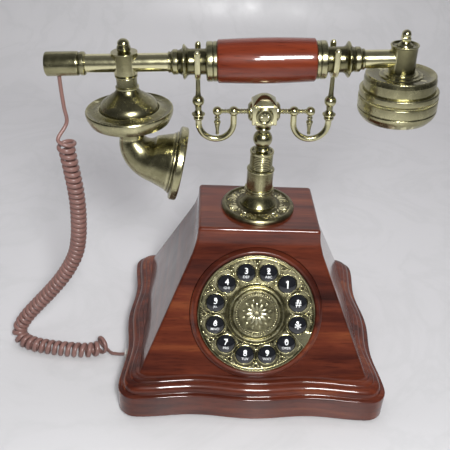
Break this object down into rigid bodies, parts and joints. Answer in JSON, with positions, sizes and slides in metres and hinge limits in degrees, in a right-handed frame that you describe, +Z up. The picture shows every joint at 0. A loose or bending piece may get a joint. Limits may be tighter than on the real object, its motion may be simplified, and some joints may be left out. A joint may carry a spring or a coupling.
{
  "type": "desk telephone",
  "caption": "French cradle desk phone: wooden base with a push-button dial, brass column and forks, brass and wood handset on a curly cord.",
  "frame": {"origin": "on the table, under the column's axis", "axes": "+X towards the earpiece, +Y to the rear (the dial faces -Y), +Z up"},
  "size_m": [0.3111, 0.177, 0.2702],
  "materials": {
    "wood_dark": "dark red-brown mahogany stain under gloss lacquer",
    "wood_grip": "orange-red-brown turned wood under gloss lacquer",
    "antique_brass": "antiqued brass, dark in its recesses and rubbed bright on its edges",
    "pale_brass": "paler brushed brass",
    "key_black": "gloss black",
    "black_plastic": "moulded black",
    "steel": "zinc-plated sheet steel",
    "board": "green solder-resist laminate",
    "felt": "pressed felt",
    "rubber": "moulded silicone rubber",
    "cord": "mauve-brown soft vinyl",
    "clear_plastic": "translucent moulded plastic"
  },
  "bodies": {
    "base": {"wood_body": "wood_dark", "plinth": "wood_dark", "bottom_plate": "steel", "felt_pads": "felt", "bottom_screws": "steel", "main_board": "board", "ringer": "black_plastic", "modular_jacks": "black_plastic", "dial_ring": "wood_dark", "dial_housing": "black_plastic", "dial_plate": "antique_brass", "hub_ring": "antique_brass", "medallion": "pale_brass", "finger_stop": "pale_brass", "keypad_membrane": "rubber", "keypad_board": "board", "column_flange": "antique_brass", "column_skirt": "antique_brass", "column_tube": "antique_brass", "column_nut": "steel", "hook_switch": "black_plastic", "cord_lower": "cord", "cord_plug": "clear_plastic"},
    "cradle": {"plunger": "antique_brass", "baluster": "antique_brass", "head_block": "antique_brass", "arm_left": "antique_brass", "arm_right": "antique_brass", "fork_left": "antique_brass", "fork_right": "antique_brass"},
    "handset": {"core_tube": "antique_brass", "grip": "wood_grip", "mouth_ferrule": "antique_brass", "ear_ferrule": "antique_brass", "end_cap": "antique_brass", "mouth_boss": "antique_brass", "mouth_knob": "antique_brass", "bell": "antique_brass", "horn": "antique_brass", "mouth_grille": "antique_brass", "microphone": "black_plastic", "ear_boss": "antique_brass", "ear_knob": "antique_brass", "ear_shell": "antique_brass", "ear_cap": "antique_brass", "receiver": "black_plastic", "cord_top": "cord", "cord_coil": "cord"},
    "key_1_cap": {"key_1": "key_black"},
    "key_2_cap": {"key_2": "key_black"},
    "key_3_cap": {"key_3": "key_black"},
    "key_4_cap": {"key_4": "key_black"},
    "key_5_cap": {"key_5": "key_black"},
    "key_6_cap": {"key_6": "key_black"},
    "key_7_cap": {"key_7": "key_black"},
    "key_8_cap": {"key_8": "key_black"},
    "key_9_cap": {"key_9": "key_black"},
    "key_0_cap": {"key_0": "key_black"},
    "key_star_cap": {"key_star": "key_black"},
    "key_hash_cap": {"key_hash": "key_black"}
  },
  "joints": [
    {"name": "handset_lift", "type": "slide", "parent": "base", "child": "handset", "axis": [0, 0, 1], "range_m": [0, 0.08], "deforming": ["cord_coil"]},
    {"name": "cradle_rise", "type": "slide", "parent": "base", "child": "cradle", "axis": [0, 0, 1], "range_m": [0, 0.004]},
    {"name": "key_1_press", "type": "slide", "parent": "base", "child": "key_1_cap", "axis": [0, 0.8805, -0.4741], "range_m": [0, 0.0015], "stiffness_N_per_m": 300, "springref_m": -0.0005},
    {"name": "key_2_press", "type": "slide", "parent": "base", "child": "key_2_cap", "axis": [0, 0.8805, -0.4741], "range_m": [0, 0.0015], "stiffness_N_per_m": 300, "springref_m": -0.0005},
    {"name": "key_3_press", "type": "slide", "parent": "base", "child": "key_3_cap", "axis": [0, 0.8805, -0.4741], "range_m": [0, 0.0015], "stiffness_N_per_m": 300, "springref_m": -0.0005},
    {"name": "key_4_press", "type": "slide", "parent": "base", "child": "key_4_cap", "axis": [0, 0.8805, -0.4741], "range_m": [0, 0.0015], "stiffness_N_per_m": 300, "springref_m": -0.0005},
    {"name": "key_5_press", "type": "slide", "parent": "base", "child": "key_5_cap", "axis": [0, 0.8805, -0.4741], "range_m": [0, 0.0015], "stiffness_N_per_m": 300, "springref_m": -0.0005},
    {"name": "key_6_press", "type": "slide", "parent": "base", "child": "key_6_cap", "axis": [0, 0.8805, -0.4741], "range_m": [0, 0.0015], "stiffness_N_per_m": 300, "springref_m": -0.0005},
    {"name": "key_7_press", "type": "slide", "parent": "base", "child": "key_7_cap", "axis": [0, 0.8805, -0.4741], "range_m": [0, 0.0015], "stiffness_N_per_m": 300, "springref_m": -0.0005},
    {"name": "key_8_press", "type": "slide", "parent": "base", "child": "key_8_cap", "axis": [0, 0.8805, -0.4741], "range_m": [0, 0.0015], "stiffness_N_per_m": 300, "springref_m": -0.0005},
    {"name": "key_9_press", "type": "slide", "parent": "base", "child": "key_9_cap", "axis": [0, 0.8805, -0.4741], "range_m": [0, 0.0015], "stiffness_N_per_m": 300, "springref_m": -0.0005},
    {"name": "key_0_press", "type": "slide", "parent": "base", "child": "key_0_cap", "axis": [0, 0.8805, -0.4741], "range_m": [0, 0.0015], "stiffness_N_per_m": 300, "springref_m": -0.0005},
    {"name": "key_star_press", "type": "slide", "parent": "base", "child": "key_star_cap", "axis": [0, 0.8805, -0.4741], "range_m": [0, 0.0015], "stiffness_N_per_m": 300, "springref_m": -0.0005},
    {"name": "key_hash_press", "type": "slide", "parent": "base", "child": "key_hash_cap", "axis": [0, 0.8805, -0.4741], "range_m": [0, 0.0015], "stiffness_N_per_m": 300, "springref_m": -0.0005}
  ],
  "couplings": [
    {"joint": "cradle_rise", "follows": "handset_lift", "ratio": 0.05}
  ]
}
